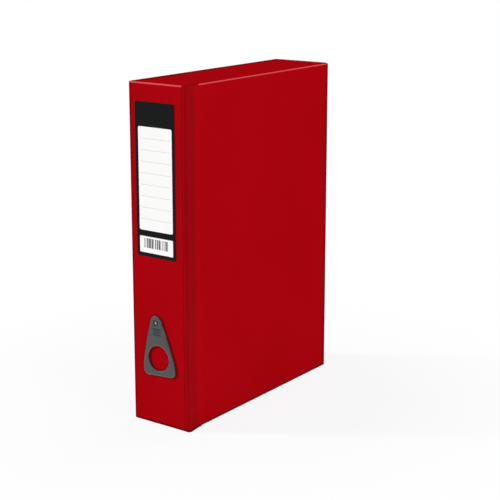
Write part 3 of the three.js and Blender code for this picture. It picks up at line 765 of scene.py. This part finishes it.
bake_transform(pull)


# Every metal piece is plated steel, bright and faintly brushed by the tools that formed it.
# The plain solids have the right shapes, so each is copied, merged and given fine soft edges.
STEEL = (0.72, 0.73, 0.75)
STEEL_DULL = (0.55, 0.56, 0.58)
STEEL_EDGE = 0.12 * MM
STEEL_SMOOTH = radians(35)

plated_steel, tree, shader = new_material("plated_steel")
brushing = noise(tree, 300, 3, 0.6, stretch=(1, 1, 14))
stain = noise(tree, 35, 3)
tree.links.new(spread(tree, stain, 0.3, 0.7, STEEL_DULL, STEEL), shader.inputs["Base Color"])
shader.inputs["Metallic"].default_value = 1
vary_roughness(tree, shader, brushing, 0.18, 0.34)
bump(tree, shader, [(brushing, 0.08, 0.00004)])


def fair_copy(node, name, edge=STEEL_EDGE, smooth=STEEL_SMOOTH):
    """A plain solid's shape with its corners merged and its sharp edges softened."""
    piece = nodes[node].copy()
    piece.data = nodes[node].data.copy()
    piece.parent = None
    piece.name = name
    for key in list(piece.keys()):
        del piece[key]
    bpy.context.scene.collection.objects.link(piece)
    only(piece)
    bpy.ops.object.mode_set(mode="EDIT")
    bpy.ops.mesh.select_all(action="SELECT")
    bpy.ops.mesh.remove_doubles(threshold=MERGE_REACH)
    bpy.ops.mesh.dissolve_limited(angle_limit=radians(1))
    bpy.ops.object.mode_set(mode="OBJECT")
    if edge:
        finish_with(
            piece, "BEVEL", width=edge, segments=2, limit_method="ANGLE", angle_limit=radians(50)
        )
    shade_true(piece, smooth)
    return piece


for node in (
    "pull_washer", "spring_plate", "pivot_pin", "spring_plate_rivet_1", "spring_plate_rivet_2",
    "spring_plate_rivet_3", "spring_plate_rivet_4", "catch_rivet_1", "catch_rivet_2",
):
    piece = fair_copy(node, "plated_" + node)
    dress(piece, plated_steel, "case", "bright_steel", node)


# The pull's rivet has a small domed head of bright steel, sunk in its counterbore. Its flanks get
# a painted dark reflection, near black, which with the counterbore's painted shade makes a dark
# ring round its crown.
RIVET_BRIGHT = (0.36, 0.34, 0.35)
RIVET_DULL = (0.20, 0.195, 0.20)
RIVET_FLANK_SHADE = (0.035, 0.033, 0.035)
HEAD_RADIUS = 2.3 * MM
HEAD_RISE = 1.1 * MM
HEAD_CROWN = (0.86, 0.97)
HEAD_SMOOTH = radians(40)

bpy.ops.object.select_all(action="DESELECT")
bpy.ops.mesh.primitive_uv_sphere_add(segments=40, ring_count=24, radius=1)
head = bpy.context.object
head.name = "pull_rivet_head"
bpy.ops.object.mode_set(mode="EDIT")
bpy.ops.mesh.select_all(action="SELECT")
bpy.ops.mesh.bisect(plane_co=(0, 0, 0), plane_no=(0, 0, -1), clear_outer=True, use_fill=True)
bpy.ops.object.mode_set(mode="OBJECT")
head.scale = (HEAD_RADIUS, HEAD_RADIUS, HEAD_RISE)
head.rotation_euler = (pi / 2, 0, 0)
head.location = (rivet_x, spine_y - PULL_THICK + BORE_DEPTH, rivet_z)
settle(head)
bpy.ops.object.shade_smooth_by_angle(angle=HEAD_SMOOTH)
rivet_steel, tree, shader = new_material("rivet_steel")
scratches = noise(tree, 900, 3)
polished = spread(tree, scratches, 0.3, 0.7, RIVET_DULL, RIVET_BRIGHT)
# Painted dark reflection: the head's flanks are painted near black, and its crown keeps the steel
# colour.
facing_y = split(tree, "Normal")[1]
crown = between(tree, compare(tree, "ABSOLUTE", facing_y, 0), *HEAD_CROWN)
tree.links.new(blended(tree, crown, RIVET_FLANK_SHADE, polished), shader.inputs["Base Color"])
shader.inputs["Metallic"].default_value = 1
vary_roughness(tree, shader, scratches, 0.25, 0.4)
bump(tree, shader, [(scratches, 0.1, 0.00003)])
dress(head, rivet_steel, "case", "bright_steel", "pull_rivet")


# The lock spring's bail is one length of wire with an eye at each end, and it swings with its
# press bar. Each of the two torsion springs has one leg on the plate and the other on the bail's
# arm.
WIRE_SMOOTH = radians(60)
SLEEVE_EDGE = 0.2 * MM

bail = fair_copy("spring_bail", "bail_wire", edge=0, smooth=WIRE_SMOOTH)
dress(bail, plated_steel, "bail", "bright_steel", "spring_bail")
sleeve = fair_copy("press_bar", "press_bar_sleeve", edge=SLEEVE_EDGE)
dress(sleeve, pull_plastic, "bail", "dark_plastic", "press_bar")
for node, name in (
    ("torsion_spring_top", "upper_torsion_spring"),
    ("torsion_spring_bottom", "lower_torsion_spring"),
):
    spring = fair_copy(node, name, edge=0, smooth=WIRE_SMOOTH)
    dress(spring, plated_steel, None, "bright_steel", node)
    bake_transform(spring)


# The catch is two plain mouldings: a socket riveted inside the fore-edge wall and a domed stud
# under the lid that snaps into it.
CATCH_EDGE = 0.25 * MM

for node, body in (("catch_socket", "case"), ("catch_stud", "lid")):
    piece = fair_copy(node, "moulded_" + node, edge=CATCH_EDGE)
    dress(piece, pull_plastic, body, "dark_plastic", node)


# A plain white floor and soft lamps. The white of the floor and background is seen by the camera
# and in reflections only; near the object the floor keeps its shadow.
FLOOR_SIZE = 12
FLOOR_WHITE = (0.86, 0.86, 0.86)
SHADOW_SHARE = 0.13
SHADOW_NEAR = 0.16
SHADOW_FAR = 0.42
WORLD_FILL = 0.36
# Each lamp's place, the angle that its source fills, and its power.
KEY_LAMP = ((-2.4, -1.6, 1.5), radians(8), 2.45)
SIDE_LAMP = ((2.2, -0.3, 0.6), radians(25), 1.42)
BACK_LAMP = ((0.2, 2.2, 0.7), radians(30), 1.2)

bpy.ops.object.select_all(action="DESELECT")
bpy.ops.mesh.primitive_plane_add(size=FLOOR_SIZE, location=(0, 0, 0))
floor = bpy.context.object
floor.name = "floor"
floor_paint, tree, shader = new_material("floor_white")
shader.inputs["Base Color"].default_value = (*FLOOR_WHITE, 1)
shader.inputs["Roughness"].default_value = 0.8
shader.inputs["Specular IOR Level"].default_value = 0.1


def seen_directly(tree):
    """1 for what the camera sees, also in a mirror or through glass, and 0 for other light."""
    rays = tree.nodes.new("ShaderNodeLightPath")
    seen = compare(tree, "MAXIMUM", rays.outputs["Is Camera Ray"], rays.outputs["Is Glossy Ray"])
    return compare(tree, "MAXIMUM", seen, rays.outputs["Is Transmission Ray"])


place = tree.nodes.new("ShaderNodeTexCoord")
distance = tree.nodes.new("ShaderNodeVectorMath")
distance.operation = "LENGTH"
tree.links.new(place.outputs["Object"], distance.inputs[0])
away = tree.nodes.new("ShaderNodeMapRange")
away.inputs["From Min"].default_value = SHADOW_NEAR
away.inputs["From Max"].default_value = SHADOW_FAR
away.inputs["To Min"].default_value = 1 - SHADOW_SHARE
away.inputs["To Max"].default_value = 1
tree.links.new(distance.outputs["Value"], away.inputs["Value"])
white = tree.nodes.new("ShaderNodeEmission")
white.inputs["Color"].default_value = (1, 1, 1, 1)
join = tree.nodes.new("ShaderNodeMixShader")
share = compare(tree, "MULTIPLY", away.outputs["Result"], seen_directly(tree))
tree.links.new(share, join.inputs["Fac"])
tree.links.new(shader.outputs["BSDF"], join.inputs[1])
tree.links.new(white.outputs["Emission"], join.inputs[2])
tree.links.new(join.outputs["Shader"], tree.nodes["Material Output"].inputs["Surface"])
floor.data.materials.append(floor_paint)

world = bpy.data.worlds.new("studio")
world.use_nodes = True
bpy.context.scene.world = world
tree = world.node_tree
background = tree.nodes["Background"]
background.inputs["Color"].default_value = (1, 1, 1, 1)
level = tree.nodes.new("ShaderNodeMapRange")
level.inputs["To Min"].default_value = WORLD_FILL
level.inputs["To Max"].default_value = 1.0
tree.links.new(seen_directly(tree), level.inputs["Value"])
tree.links.new(level.outputs["Result"], background.inputs["Strength"])


def far_lamp(name, place, softness, power):
    """A lamp so far away that it lights the box evenly from top to bottom."""
    bpy.ops.object.light_add(type="SUN", location=place)
    light = bpy.context.object
    light.name = name
    light.data.angle = softness
    light.data.energy = power
    light.rotation_euler = (-Vector(place)).to_track_quat("-Z", "Y").to_euler()


far_lamp("key_lamp", *KEY_LAMP)
far_lamp("side_lamp", *SIDE_LAMP)
far_lamp("back_lamp", *BACK_LAMP)

bpy.context.scene.view_settings.view_transform = "Standard"
